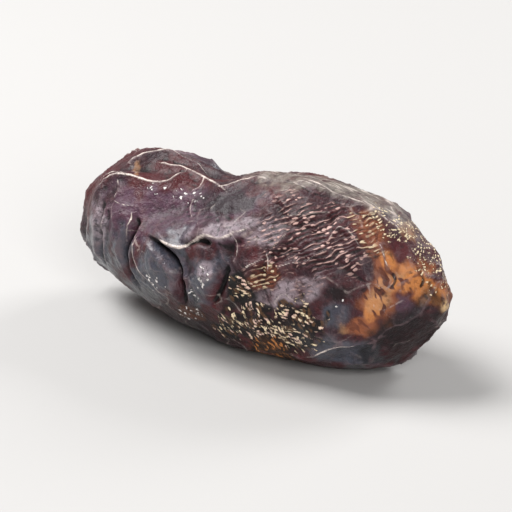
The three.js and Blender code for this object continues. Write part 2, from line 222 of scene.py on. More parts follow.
toViewer, viewRight, viewUp = viewDirections()
slant = np.stack([toViewer, viewRight, viewUp], 1)
halfSizes = np.array([fruit["halfLength"], fruit["halfWidth"], fruit["halfHeight"]])


def smoothStep(low, high, x):
    # 0 at low, 1 at high, and 3t^2 - 2t^3 between them
    t = np.clip((x - low) / (high - low), 0, 1)
    return t * t * (3 - 2 * t)


def splineSegment(a, b, c, d, t):
    # The cubic from b to c whose slopes are (c - a) / 2 and (d - b) / 2
    return b + 0.5 * t * (c - a + t * (2 * a - 5 * b + 4 * c - d + t * (3 * (b - c) + d - a)))


def profileAt(heights, share):
    # A smooth curve through heights at even steps, read from its start, 0, to its end, 1
    h = np.r_[2 * heights[0] - heights[1], heights, 2 * heights[-1] - heights[-2]]
    place = share * (len(heights) - 1)
    k = np.clip(place.astype(int), 0, len(heights) - 2)
    return splineSegment(h[k], h[k + 1], h[k + 2], h[k + 3], place - k)


def lineThrough(points, steps=6):
    # A smooth line through points in space, with even steps from each point to the next
    p = np.vstack([2 * points[0] - points[1], points, 2 * points[-1] - points[-2]])
    t = np.linspace(0, 1, steps, endpoint=False)[:, None]
    parts = [splineSegment(p[i], p[i + 1], p[i + 2], p[i + 3], t) for i in range(len(points) - 1)]
    return np.concatenate(parts + [points[-1:]])


def onSkin(directions):
    # Place on the smooth fruit for directions of the unit sphere: x is the length's share, the girth is
    # sqrt(1 - |x|^bluntness), and the ends lean to +Y by x squared
    along = directions[:, 0]
    bluntness = np.where(along < 0, fruit["stemBluntness"], fruit["tipBluntness"])
    girth = np.sqrt(np.maximum(1 - np.abs(along) ** bluntness, 0))
    around = directions[:, 1:] / np.maximum(np.hypot(directions[:, 1], directions[:, 2]), 1e-9)[:, None]
    share = np.clip((along + 1) / 2, 0, 1)
    back, belly = (profileAt(np.array(fruit[side]), share) for side in ("backHeights", "bellyDepths"))
    reach = np.where(directions[:, 2] > 0, back, belly)
    return np.stack([fruit["halfLength"] * along,
                     fruit["halfWidth"] * girth * around[:, 0] + fruit["endLean"] * along ** 2,
                     reach * girth * around[:, 1]], 1)


def outward(directions):
    # The way the folds rise: the direction divided by the fruit's half sizes, at unit length
    n = directions / halfSizes
    return n / np.linalg.norm(n, axis=1)[:, None]


def seenAt(drawn, rise=0.0, rounds=12, stride=0.8):
    # Places on the skin that show at points of the view once they rise by this much: each point is carried
    # back to an ellipsoid of the fruit's size, and moved until the risen skin shows at the point
    drawn = np.asarray(drawn, float)
    aim = drawn.copy()
    sight = toViewer / halfSizes
    for _ in range(rounds):
        flat = (aim[:, :1] * viewRight + aim[:, 1:] * viewUp) / halfSizes
        a, b, c = sight @ sight, flat @ sight, (flat ** 2).sum(1) - 1
        nearer = (-b + np.sqrt(np.maximum(b * b - a * c, 0))) / a
        direction = flat + nearer[:, None] * sight
        direction /= np.linalg.norm(direction, axis=1)[:, None]
        place = onSkin(direction)
        risen = place + rise * outward(direction)
        aim += stride * (drawn - np.stack([risen @ viewRight, risen @ viewUp], 1))
    return place


def nearLine(places, normals, drawn, rise, reach):
    # For a drawn path laid on the skin: the distance to it, how far along it the nearest point lies, 0 to 1,
    # and the side of it, from 1 on its left to -1 on its right
    line = lineThrough(seenAt(drawn, rise))
    near = np.nonzero(((places > line.min(0) - reach) & (places < line.max(0) + reach)).all(1))[0]
    distance, along, side = np.full(len(places), farAway), np.zeros(len(places)), np.zeros(len(places))
    for k, (start, step) in enumerate(zip(line[:-1], np.diff(line, axis=0))):
        share = np.clip((places[near] - start) @ step / (step @ step), 0, 1)
        away = places[near] - start - share[:, None] * step
        gap = np.linalg.norm(away, axis=1)
        closer = gap < distance[near]
        found = near[closer]
        left = np.cross(normals[found], step)
        distance[found] = gap[closer]
        along[found] = (k + share[closer]) / (len(line) - 1)
        sine = np.linalg.norm(left, axis=1) * np.maximum(gap[closer], 1e-6)
        side[found] = (away[closer] * left).sum(1) / sine
    return distance, along, side


def chance(i, j, k):
    # A repeatable random number from 0 to 1 for three numbers
    value = np.sin(i * 127.1 + j * 311.7 + k * 74.7) * 43758.5453
    return value - np.floor(value)


def softNoise(p):
    # Smooth random height from 0 to 1: a chance at each corner of a unit grid, blended by t^3(6t^2-15t+10)
    cell = np.floor(p)
    t = p - cell
    w = t ** 3 * (t * (6 * t - 15) + 10)
    total = 0
    for corner in np.ndindex(2, 2, 2):
        weight = np.prod(np.where(corner, w, 1 - w), axis=1)
        total = total + weight * chance(*(cell + corner).T)
    return total


def moodOf(places, layer):
    # Slow noise from 0 to 1, in patches of the layer's mood sizes
    return softNoise(places / np.array(layer["moodSizes"]) + layer["moodDraw"])


def netGap(places, net, atOnce=8000):
    # How much nearer a place is to its own cell's middle than to the next one's. The middles lie on a
    # spiral over the skin, shaken a little, and the places are bent by noise first
    i = np.arange(net["cells"]) + 0.5
    along = 1 - 2 * i / net["cells"]
    turn, girth = i * np.pi * (1 + np.sqrt(5)), np.sqrt(1 - along ** 2)
    spiral = np.stack([along, girth * np.cos(turn), girth * np.sin(turn)], 1)
    shake = np.stack([chance(i, k + net["draw"], 0) for k in (1, 2, 3)], 1) - 0.5
    spiral += net["shake"] / np.sqrt(net["cells"]) * shake
    squeeze = np.array([1 / net["stretch"], 1, 1])
    middles = onSkin(spiral / np.linalg.norm(spiral, axis=1)[:, None]) * squeeze
    bend = np.stack([softNoise(places / net["bendSize"] + 17.3 * k) for k in (1, 2, 3)], 1) - 0.5
    bent = (places + 2 * net["bend"] * bend) * squeeze
    gap = np.empty(len(places))
    for start in range(0, len(places), atOnce):
        some = bent[start:start + atOnce]
        squares = (some ** 2).sum(1)[:, None] + (middles ** 2).sum(1) - 2 * some @ middles.T
        nearest = np.sqrt(np.maximum(np.partition(squares, 1, axis=1)[:, :2], 0))
        gap[start:start + atOnce] = nearest[:, 1] - nearest[:, 0]
    return gap


def rounded(distance, radius):
    # The distance from a line with its sharp start rounded off: sqrt(distance^2 + radius^2) - radius
    return np.hypot(distance, radius) - radius


def endFade(along, least):
    # Rises in a straight line from least at both ends of a path to 1 further in
    return np.clip(folds["endRise"] * np.minimum(along, 1 - along) + least, 0, 1)


def drawnFolds(places, normals):
    # Crests: the fourth-power mean of height * exp(-distance / flank), with a flank for each side.
    # Creases: a sharp cut less a lip on each side. Lobes: height * exp(-(distance / reach)^2).
    # All fade at the ends of their paths. Also gives the distance to the nearest crest's line, which counts
    # as longer for a low crest and at a line's ends
    ridge, line = np.zeros(len(places)), np.full(len(places), farAway)
    for height, left, right, path in folds["crests"]:
        reach = folds["crestReach"] * max(left, right)
        distance, along, side = nearLine(places, normals, path, height, reach)
        fade = endFade(along, folds["crestEnd"])
        flank = right + (left - right) * smoothStep(-folds["sideBlend"], folds["sideBlend"], side)
        ridge += (height * fade * np.exp(-rounded(distance, folds["rounding"]) / flank)) ** 4
        thinned = distance * np.sqrt(folds["lineHeight"] / height) + folds["lineThinning"] * (1 - fade)
        line = np.minimum(line, thinned)
    total = ridge ** 0.25
    for depth, width, path in folds["creases"]:
        distance, along, _ = nearLine(places, normals, path, 0.0, folds["creaseReach"] * width)
        lip = np.exp(-((distance - folds["lipPlace"] * width) / (folds["lipWidth"] * width)) ** 2)
        cut = np.exp(-rounded(distance, folds["creaseRounding"]) / width) - folds["lipHeight"] * lip
        total -= depth * endFade(along, folds["creaseEnd"]) * cut
    for height, reach, path in folds["lobes"]:
        distance = nearLine(places, normals, path, max(height, 0.0), folds["lobeReach"] * reach)[0]
        total += height * np.exp(-(distance / reach) ** 2)
    return total, line


def crinkleHeight(places, crinkle):
    # Height * ridged noise to a power, which sharpens its tops
    ridges = 1 - np.abs(2 * moodOf(places, crinkle) - 1)
    return crinkle["height"] * ridges ** crinkle["sharpness"]


def looseFolds(places, facing, busy):
    # Each net's relief: height * exp(-gap / flank), with the height turned from furrow to ridge by its mood.
    # The large net is faint where the drawn folds show. Also gives the distance to the large net's ridges
    # and to the small net's edges, which counts as longer where their pale lines fade
    large, small, fine = nets["large"], nets["small"], nets["fine"]
    largeGap, smallGap, fineGap = (netGap(places, net) for net in (large, small, fine))
    tipHalf = smoothStep(*large["tipHalf"], places[:, 0])
    share = 1 - facing * (large["spared"] - large["sparedLess"] * tipHalf)
    ridged = smoothStep(*large["ridged"], moodOf(places, large))
    rise = (large["height"] + large["depth"]) * ridged - large["depth"]
    height = share * rise * np.exp(-largeGap / large["flank"])
    mood = moodOf(places, small)
    rise = (small["height"] + small["hiddenHeight"] * share) * (mood - small["moodMiddle"])
    height += rise * np.exp(-smallGap / small["flank"])
    rough = crinkles["calm"] + (1 - crinkles["calm"]) * busy
    rise = fine["height"] * rough * (moodOf(places, fine) - fine["moodMiddle"])
    height += rise * np.exp(-fineGap / fine["flank"])
    height += rough * crinkleHeight(places, crinkles["coarse"]) + crinkleHeight(places, crinkles["fine"])

    gone = smoothStep(*netLines["gone"], softNoise(places / netLines["gapSize"] + netLines["gapDraw"]))
    ridgeLine = (netLines["perGap"] * largeGap
                 + netLines["hiddenFade"] * smoothStep(*netLines["hiddenAt"], share)
                 + netLines["furrowFade"] * (1 - ridged) + netLines["goneFade"] * gone)
    gone = smoothStep(*netLines["threadGone"], mood)
    thread = netLines["threadPerGap"] * smallGap + netLines["threadFade"] * gone
    return height, ridgeLine, thread


def endRelief(places):
    # Stem end: a round pit, exp(-(r / radius)^4), with a rim, a bell round its radius. Tip: a bell
    r = np.hypot(places[:, 1] - fruit["endLean"], places[:, 2])
    nib = ends["nibHeight"] * np.exp(-(r / ends["nibRadius"]) ** 2)
    rim = ends["rimHeight"] * np.exp(-((r - ends["rimRadius"]) / ends["rimWidth"]) ** 2)
    pit = ends["pitDepth"] * np.exp(-(r / ends["pitRadius"]) ** 4)
    return np.where(places[:, 0] > 0, nib, rim - pit)


def roundedCube(along, across):
    # A cube's six even grids pushed out to the unit sphere by x * sqrt(1 - y^2/2 - z^2/2 + y^2 z^2 / 3),
    # with the points along shared edges merged. Quads face outwards
    corners, quads, count = [], [], 0
    for axis in range(3):
        first, second = (axis + 1) % 3, (axis + 2) % 3
        u = np.linspace(-1, 1, (along if first == 0 else across) + 1)
        v = np.linspace(-1, 1, (along if second == 0 else across) + 1)
        index = np.arange(len(u) * len(v)).reshape(len(u), len(v))
        loop = [index[:-1, :-1], index[1:, :-1], index[1:, 1:], index[:-1, 1:]]
        for side in (-1, 1):
            face = np.empty((len(u), len(v), 3))
            face[..., first], face[..., second], face[..., axis] = u[:, None], v, side
            corners.append(face.reshape(-1, 3))
            quads.append(np.stack(loop[::side], -1).reshape(-1, 4) + count)
            count += len(u) * len(v)
    corners, quads = np.concatenate(corners), np.concatenate(quads)
    _, kept, merged = np.unique(np.round(corners * 1e6), axis=0, return_index=True, return_inverse=True)
    x, y, z = corners[kept].T
    sphere = [p * np.sqrt(1 - q * q / 2 - r * r / 2 + q * q * r * r / 3)
              for p, q, r in ((x, y, z), (y, z, x), (z, x, y))]
    return np.stack(sphere, 1), merged.reshape(-1)[quads]


def standingOut(points, quads, rounds):
    # How far each point stands out of the surface once that is evened by averaging neighbours, in mm
    starts, finishes = quads.reshape(-1), np.roll(quads, -1, axis=1).reshape(-1)
    neighbours = np.bincount(starts, minlength=len(points))
    even = points
    for _ in range(rounds):
        sums = [np.bincount(starts, weights=even[finishes, k], minlength=len(points)) for k in range(3)]
        even = 0.5 * even + 0.5 * np.stack(sums, 1) / neighbours[:, None]
    across = np.cross(points[quads[:, 2]] - points[quads[:, 0]], points[quads[:, 3]] - points[quads[:, 1]])
    normals = [np.bincount(quads.reshape(-1), weights=np.repeat(across[:, k], 4), minlength=len(points))
               for k in range(3)]
    normals = np.stack(normals, 1)
    normals /= np.linalg.norm(normals, axis=1)[:, None]
    return ((points - even) * normals).sum(1)


def zoneMask(places, facing, name):
    # Soft ellipses of the zone, seen from the drawn side only, with edges bent by noise
    right, up = places @ viewRight, places @ viewUp
    sway = sum(height * (softNoise(places / size + draw) - 0.5) for height, size, draw in zoneEdges["sways"])
    mask = np.zeros(len(places))
    for (x, y), (halfWide, halfHigh), tilt in zones[name]:
        c, s = np.cos(np.radians(tilt)), np.sin(np.radians(tilt))
        a, b = (right - x) * c + (up - y) * s, (up - y) * c - (right - x) * s
        outwards = np.hypot(a / halfWide, b / halfHigh) + sway
        mask = np.maximum(mask, 1 - smoothStep(*zoneEdges["fade"], outwards))
    return mask * facing


def skinMesh():
    # The fruit: smooth skin, raised along its outward direction by the folds and pressed level at its base
    directions, quads = roundedCube(fruit["gridAlong"], fruit["gridAcross"])
    places, normals = onSkin(directions), outward(directions)
    facing = smoothStep(*seenFrom["shown"], normals @ toViewer)
    base = fruit["halfHeight"]
    calm = 1 - finishing["calmShare"] * smoothStep(base - finishing["calmDepth"], base, -places[:, 2])
    drawnHeight, crestLine = drawnFolds(places, normals)
    busy = np.maximum(zoneMask(places, facing, "flecks"), zoneMask(places, facing, "crumbs"))
    looseHeight, ridgeLine, thread = looseFolds(places, facing, busy)
    height = calm * (drawnHeight + looseHeight) + endRelief(places)
    points = places + normals * height[:, None]
    points[:, 2] = np.maximum(points[:, 2], -base)
    r = np.hypot(places[:, 1] - fruit["endLean"], places[:, 2])
    looks = {
        "edge": standingOut(points, quads, finishing["edgeRounds"]),
        "swell": standingOut(points, quads, finishing["swellRounds"]),
        "line": np.minimum(crestLine, finishing["widestLine"]),
        "ridge": np.minimum(ridgeLine, finishing["widestLine"]),
        "thread": np.minimum(thread, finishing["widestLine"]),
        "stalk": np.where(places[:, 0] < 0, 1 - smoothStep(*ends["stalkTint"], r), 0),
        "nib": np.where(places[:, 0] > 0, 1 - smoothStep(*ends["nibTint"], r), 0),
    }
    for name, (size, start, full) in hidden.items():
        coarse, finer = softNoise(places @ slant / size + 3 * size), softNoise(places / (0.4 * size) + size)
        patches = smoothStep(start, full, 0.6 * coarse + 0.4 * finer)
        looks[name] = np.maximum(zoneMask(points, facing, name), patches * (1 - facing))
    return points, quads, looks


def inMetres(points):
    # Millimetres about the fruit's middle to metres on the floor, centred in the solid's box
    low, high = (Vector(corner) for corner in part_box("date"))
    middle = (points.min(0) + points.max(0)) / 2
    shift = np.array([(low.x + high.x) / 2, (low.y + high.y) / 2, low.z])
    return (points - [middle[0], middle[1], points[:, 2].min()]) * 0.001 + shift


def makePiece(name, points, quads, looks, material):
    mesh = bpy.data.meshes.new(name)
    mesh.from_pydata(points.tolist(), [], quads.tolist())
    mesh.polygons.foreach_set("use_smooth", np.ones(len(quads), bool))
    for look, values in looks.items():
        mesh.attributes.new(look, "FLOAT", "POINT").data.foreach_set("value", values.astype(np.float32))
    mesh.materials.append(material)
    piece = bpy.data.objects.new(name, mesh)
    bpy.context.collection.objects.link(piece)
    return piece


class Wire:
    # A node's output. Sums and products of wires and numbers add Math nodes
    def __init__(self, finish, socket):
        self.finish = finish
        self.socket = socket

    def __add__(self, other):
        return self.finish.maths("ADD", self, other)

    def __sub__(self, other):
        return self.finish.maths("SUBTRACT", self, other)

    def __rsub__(self, other):
        return self.finish.maths("SUBTRACT", other, self)

    def __mul__(self, other):
        return self.finish.maths("MULTIPLY", self, other)

    def __gt__(self, other):
        return self.finish.maths("GREATER_THAN", self, other)

    def sibling(self, name):
        # Another output of the same node
        return Wire(self.finish, self.socket.node.outputs[name])

    __radd__ = __add__
    __rmul__ = __mul__


class Finish:
    # One material and its nodes
    def __init__(self, name):
        self.material = bpy.data.materials.new(name)
        self.material.use_nodes = True
        self.tree = self.material.node_tree
        self.tree.nodes.clear()

    def node(self, kind, settings, sockets, output=0):
        # Adds a node, sets it up, then gives its sockets their values or links
        made = self.tree.nodes.new(kind)
        for name, value in settings.items():
            setattr(made, name, value)
        for name, value in sockets.items():
            if isinstance(value, Wire):
                self.tree.links.new(value.socket, made.inputs[name])
            else:
                made.inputs[name].default_value = value
        return Wire(self, made.outputs[output])

    def finishWith(self, shader):
        output = self.tree.nodes.new("ShaderNodeOutputMaterial")
        self.tree.links.new(shader.socket, output.inputs["Surface"])

    def maths(self, operation, first, second=0.0):
        return self.node("ShaderNodeMath", {"operation": operation}, {0: first, 1: second})

    def look(self, name):
        return self.node("ShaderNodeAttribute", {"attribute_name": name}, {}, "Fac")

    def step(self, value, low, high):
        # A wire's smooth step from 0 at low to 1 at high, or falling where low is the larger
        rising = low < high
        sockets = {"Value": value, "From Min": min(low, high), "From Max": max(low, high),
                   "To Min": 0.0 if rising else 1.0, "To Max": 1.0 if rising else 0.0}
        return self.node("ShaderNodeMapRange", {"interpolation_type": "SMOOTHSTEP"}, sockets)

    def blend(self, base, colour, share):
        return self.node("ShaderNodeMix", {"data_type": "RGBA"}, {0: share, 6: base, 7: colour}, 2)

    def noise(self, place, size, detail=3.0):
        # Noise whose features are about this many metres wide
        sockets = {"Vector": place, "Scale": 1 / size, "Detail": detail, "Roughness": 0.55}
        return self.node("ShaderNodeTexNoise", {}, sockets, "Fac")

    def warped(self, place, size, amount):
        # The place moved about by noise of this size, by up to this many metres
        sockets = {"Vector": place, "Scale": 1 / size, "Detail": 1.0}
        drift = self.node("ShaderNodeTexNoise", {}, sockets, "Color")
        return self.node("ShaderNodeVectorMath", {"operation": "MULTIPLY_ADD"},
                         {0: drift, 1: (amount,) * 3, 2: place})

    def stretched(self, place, sizes, turn):
        # The place in a turned frame whose unit along each axis is this many metres
        return self.node("ShaderNodeMapping", {"vector_type": "TEXTURE"},
                         {"Vector": place, "Rotation": turn, "Scale": sizes})

    def dashes(self, place, sizes, turn, share, thick, ragged=0.0):
        # Short strokes: the inner part of stretched cells, in about this share of the cells
        cells = self.stretched(place, sizes, turn)
        near = self.node("ShaderNodeTexVoronoi", {}, {"Vector": cells, "Scale": 1.0}, "Distance")
        picked = near.sibling("Color") > 1 - share
        return self.step(near + ragged, thick, 0.55 * thick) * picked

    def rows(self, place, spacing, turn):
        # Even wavy rows with this many metres between them, from 0 in the gaps to 1. The texture has a row
        # in each 2 pi / 20 of its unit
        unit = 20 / (2 * np.pi) * spacing
        sockets = {"Vector": self.stretched(place, (unit,) * 3, turn), "Scale": 1.0, "Distortion": 5.0,
                   "Detail": 2.0, "Detail Scale": 0.9}
        return self.node("ShaderNodeTexWave", {"bands_direction": "Z"}, sockets, "Fac")

    def stripes(self, place, sizes, turn):
        # Noise drawn out along one axis
        return self.noise(self.stretched(place, sizes, turn), 1.0, 0.0)

    def wrinkles(self, stripes, thin):
        # Thin wavy lines: where stripes pass their middle value
        return self.step(self.maths("ABSOLUTE", stripes - 0.5), thin, 0.4 * thin)


def rgb(hexText):
    # A display colour such as 3a2a2e as the linear colour that a shader takes
    parts = [int(hexText[k:k + 2], 16) / 255 for k in (0, 2, 4)]
    return (*[((c + 0.055) / 1.055) ** 2.4 if c > 0.04045 else c / 12.92 for c in parts], 1.0)


# The skin's colours and gloss
skin = {
    "dark": "2f1b23", "warm": "4d1b1f", "violet": "553c4e", "blue": "42444f", "smoke": "7a6468",
    "black": "060304", "line": "f6e6dc", "cream": "8f877d", "bloomAndSheen": "9a8c93", "rust": "5a2c1e",
    "amber": "8f5233", "orange": "c57e44", "honey": "b98a60", "pink": "e6bcb2", "gold": "f8e2bc",
    "brown": "64462f", "glintWhite": "fbf4f0", "stalk": "85705a", "nib": "c9a87c",
    "gloss": 0.28, "coat": 0.08, "blueCoat": 0.35, "coatRoughness": 0.25,
    "roughness": 0.5, "bumpStrength": 0.9, "bumpDepth": 0.0002,
}

# The sizes of the skin's noises, in metres, and of the bend that its marks follow, with how far it moves them
noises = {
    "broad": 0.006, "middle": 0.0018, "small": 0.0005, "grain": 0.0002, "patches": 0.0009, "specks": 0.0005,
    "flames": 0.0012, "breaks": 0.0011, "fleckBreaks": 0.0024, "crumbStains": 0.0008,
    "bend": (0.0014, 0.0008), "fleckBend": (0.0016, 0.0007),
}

# Where each layer starts and is full in the value that it follows, and its strength
layers = {
    "warm": (0.5, 0.8, 1.0), "violet": (0.45, 0.9, 0.85), "blue": (0.4, 0.75, 1.0), "bloomAndSheen": (0.35, 0.8, 0.9),
    "mottle": (0.48, 0.7, 1.0), "speckle": (0.5, 0.66, 1.0),
    "rust": (0.2, 0.9, 0.9), "amber": (0.8, 1.8, 1.0), "orange": (0.9, 1.8, 0.9), "honey": (1.0, 2.3, 0.6),
    "veins": (0.53, 0.68, 0.8), "cream": (0.45, 0.95, 0.75), "streaks": (0.38, 0.62, 0.45),
    "hollow": (-0.02, -0.3, 1.0), "valley": (-0.01, -0.055, 1.0),
    "top": (0.015, 0.07, 1.0), "topPatches": (0.35, 0.6, 0.4),
    "breaks": (0.38, 0.55, 1.0), "crest": (0.13, 0.01, 1.0), "ridge": (0.16, 0.04, 1.0),
    "thread": (0.1, 0.02, 1.0), "threadPatches": (0.35, 0.6, 0.25),
    "fleckBreaks": (0.48, 0.58, 1.0), "rows": (0.74, 0.97, 1.0), "goldFlecks": (0.1, 0.5, 1.0),
    "rowGaps": (0.55, 0.1, 1.0), "gapPatches": (0.36, 0.56, 0.85),
    "crumbBed": (0.2, 0.75, 1.0), "pinkCrumbs": (0.45, 0.6, 0.8), "orangeCrumbs": (0.75, 1.05, 1.0),
    "brownCrumbs": (0.5, 0.7, 0.7), "stalk": (0.3, 0.55, 1.0), "nib": (0.35, 0.6, 1.0),
}

# How strongly each mark and shadow is laid over the base
strengths = {
    "mottle": 0.22, "shade": 0.75, "hollow": 0.95, "valley": 0.75, "lines": 0.88, "underFlecks": 0.4,
    "flecks": 0.85, "dots": 0.9, "paintedGlints": 0.9, "crumbBed": 0.92, "stains": 0.7,
}

# How high each mark stands in the bump, and what it adds to the roughness
reliefs = {
    "small": 0.8, "grain": 0.4, "mottle": 0.4, "lines": 0.5, "flecks": 1.0, "rows": 0.5, "dots": 1.0,
    "paintedGlints": 1.0, "crumbs": 1.5,
}
roughnesses = {"middle": 0.3, "blue": -0.15, "hollow": 0.15, "lines": -0.2, "crumbBed": 0.1}

# Ways that marks lie: turns of their frame, in radians
ways = {
    "level": (0.0, 0.1, 0.0), "rising": (0.0, -0.325, 0.827), "steep": (0.0, 1.07, -0.08),
    "across": (0.0, 0.1, 0.6), "rows": (0.0, -0.5, -0.08), "any": (0.0, 0.0, 0.0),
}

# Marks: their length and two widths in metres, their way, and for dashes the share of places that hold one
# and their thickness in shares of their size
marks = {
    "veins": ((0.0014, 0.0008, 0.0004), "steep"),
    "streaks": ((0.008, 0.001, 0.0008), "level"),
    "fleckBreaks": ((0.0013, 0.001, 0.0005), "rising"),
    "flecks": ((0.0009, 0.0006, 0.00032), "rising", 0.45, 0.45),
    "dots": ((0.0005, 0.00038, 0.00029), "rising", 0.9, 0.42),
    "paintedGlints": ((0.0006, 0.0005, 0.0005), "any", 0.55, 0.38),
    "stains": ((0.001, 0.0007, 0.00045), "steep", 0.6, 0.6),
    "longCrumbs": ((0.0016, 0.0009, 0.00045), "steep", 0.5, 0.5),
    "shortCrumbs": ((0.0007, 0.0006, 0.00032), "steep", 0.5, 0.5),
    "grains": ((0.001, 0.0006, 0.00036), "across", 0.65, 0.5),
    "rowSpacing": 0.00052, "streakWidth": 0.05,
}


class SkinFinish(Finish):
    # The date's skin. Each method lays colours over the base, and may add to the relief and the roughness
    def __init__(self):
        super().__init__("dateSkin")
        self.place = self.node("ShaderNodeTexCoord", {}, {}, "Object")
        self.bent = self.warped(self.place, *noises["bend"])
        self.broad, self.middle, self.small = (self.noise(self.place, noises[size])
                                               for size in ("broad", "middle", "small"))
        self.grain = self.noise(self.place, noises["grain"], 1.0)
        self.breaks = self.layer("breaks", self.noise(self.place, noises["breaks"]))
        self.base = rgb(skin["dark"])
        self.relief = self.small * reliefs["small"]
        self.emboss("grain", self.grain)
        self.roughness = skin["roughness"] + roughnesses["middle"] * (self.middle - 0.5)

    def layer(self, name, value):
        # The smooth step of a value over the layer's range, times its strength
        start, full, strength = layers[name]
        shown = self.step(value, start, full)
        return shown if strength == 1.0 else shown * strength

    def lay(self, colour, share):
        self.base = self.blend(self.base, rgb(skin[colour]), share)

    def emboss(self, name, value):
        self.relief += value * reliefs[name]

    def roughen(self, name, value):
        self.roughness += value * roughnesses[name]

    def striped(self, name, place):
        sizes, way = marks[name]
        return self.stripes(place, sizes, ways[way])

    def dashed(self, name, place, where, ragged):
        # A mark's dashes, where the zone's mask shows
        sizes, way, share, thick = marks[name]
        return self.dashes(place, sizes, ways[way], where * share, thick, ragged)

    def tints(self):
        # Warm, violet and blue tints over the dark skin, with bloom that is partly a painted sheen, a smoky
        # mottle and black specks
        self.lay("warm", self.layer("warm", self.broad + 0.3 * self.small))
        self.lay("violet", self.look("violet") * self.layer("violet", self.broad + 0.5 * self.middle))
        self.lay("blue", self.look("blue") * self.layer("blue", self.broad + self.middle * 0.5))
        self.lay("bloomAndSheen", self.look("bloomAndSheen") * self.layer("bloomAndSheen", self.middle + 0.4 * self.small))
        mottle = self.layer("mottle", self.noise(self.bent, noises["patches"]))
        self.lay("smoke", mottle * strengths["mottle"])
        speckle = self.layer("speckle", self.noise(self.bent, noises["specks"], 4.0))
        self.lay("black", speckle * (0.3 + 0.4 * self.look("bloomAndSheen")))
        self.emboss("mottle", mottle)
        self.roughen("blue", self.look("blue"))

    def amberPatch(self):
        # Rust at its edges, then amber, orange and honey, with rust veins. The honey is partly a painted
        # highlight
        amber, orange, honey = self.look("amber"), self.look("orange"), self.look("honey")
        self.lay("rust", self.layer("rust", amber + 0.5 * self.middle))
        self.lay("amber", self.layer("amber", amber + 1.2 * self.middle))
        flames = self.noise(self.bent, noises["flames"])
        self.lay("orange", self.layer("orange", orange + flames + 0.4 * self.small))
        patches = self.noise(self.bent, noises["patches"])
        self.lay("honey", self.layer("honey", honey + patches + 0.8 * self.small))
        self.lay("rust", self.layer("veins", self.striped("veins", self.bent)) * (amber + honey))

    def creamBand(self):
        # A pale cream band, partly dusty skin and partly a painted sheen, with pale streaks along it
        cream = self.look("cream")
        self.lay("cream", cream * self.layer("cream", self.middle + self.small * 0.5))
        streaks = self.wrinkles(self.striped("streaks", self.place), marks["streakWidth"])
        self.lay("line", cream * streaks * self.layer("streaks", self.middle))

    def shadows(self):
        # Painted shade: black over the shade zone and in the hollows and valleys, less where the skin is
        # pale. Also smoky tops
        self.lay("black", self.look("shade") * strengths["shade"])
        pale = self.maths("MAXIMUM", self.look("cream"), self.look("bloomAndSheen"))
        hollow = self.layer("hollow", self.look("swell"))
        self.lay("black", hollow * (1 - pale) * strengths["hollow"])
        valley = self.layer("valley", self.look("edge"))
        self.lay("black", valley * (1 - 0.6 * pale) * strengths["valley"])
        self.lay("smoke", self.layer("top", self.look("edge")) * self.layer("topPatches", self.middle))
        self.roughen("hollow", hollow)

    def paleLines(self):
        # Pale lines along crests and ridges, partly wear and partly painted highlights, and faint threads
        # along small wrinkles
        wander = 0.12 * (self.small - 0.5)
        crests = self.layer("crest", self.look("line") + wander + 0.2 * (self.middle - 0.5))
        ridges = self.layer("ridge", self.look("ridge") + wander) * self.breaks
        lines = self.maths("MAXIMUM", crests * (0.4 + 0.6 * self.breaks), ridges)
        threads = self.layer("thread", self.look("thread") + wander) * self.breaks
        self.lay("line", lines * strengths["lines"])
        self.lay("line", threads * (1 - 0.8 * self.look("blue")) * self.layer("threadPatches", self.broad))
        self.emboss("lines", lines)
        self.roughen("lines", lines)

    def fleckRows(self):
        # Pink and gold flecks: wavy rows, broken here and there, and short bold strokes between them
        flecks = self.look("flecks")
        eased = self.warped(self.place, *noises["fleckBend"])
        rows = self.rows(eased, marks["rowSpacing"], ways["rows"])
        uneven = self.noise(self.place, noises["fleckBreaks"]) - 0.5
        held = self.layer("fleckBreaks", self.striped("fleckBreaks", eased) + 0.6 * uneven)
        thin = self.layer("rows", rows + 0.5 * (self.small - 0.5)) * held * (0.35 + 0.5 * self.breaks)
        bold = self.dashed("flecks", eased, 1, 0.6 * (self.small - 0.5))
        strokes = self.maths("MAXIMUM", thin, bold) * flecks
        self.lay("warm", flecks * strengths["underFlecks"])
        self.lay("black", flecks * self.layer("rowGaps", rows) * self.layer("gapPatches", self.middle))
        tint = self.blend(rgb(skin["pink"]), rgb(skin["gold"]), self.layer("goldFlecks", self.look("amber")))
        self.base = self.blend(self.base, tint, strokes * strengths["flecks"])
        self.emboss("flecks", strokes)
        self.emboss("rows", flecks * rows)

    def specks(self):
        # Golden dots near the tip, and painted highlights: small white glints
        spots = self.dashed("dots", self.bent, self.look("dots"), 0.8 * (self.grain - 0.5))
        self.lay("gold", spots * strengths["dots"])
        glint = 0.9 * (self.grain - 0.5) + 0.7 * (self.small - 0.5)
        paintedGlints = self.dashed("paintedGlints", self.bent, self.look("paintedGlints"), glint)
        self.lay("glintWhite", paintedGlints * strengths["paintedGlints"])
        self.emboss("dots", spots)
        self.emboss("paintedGlints", paintedGlints)

    def crumbPatch(self):
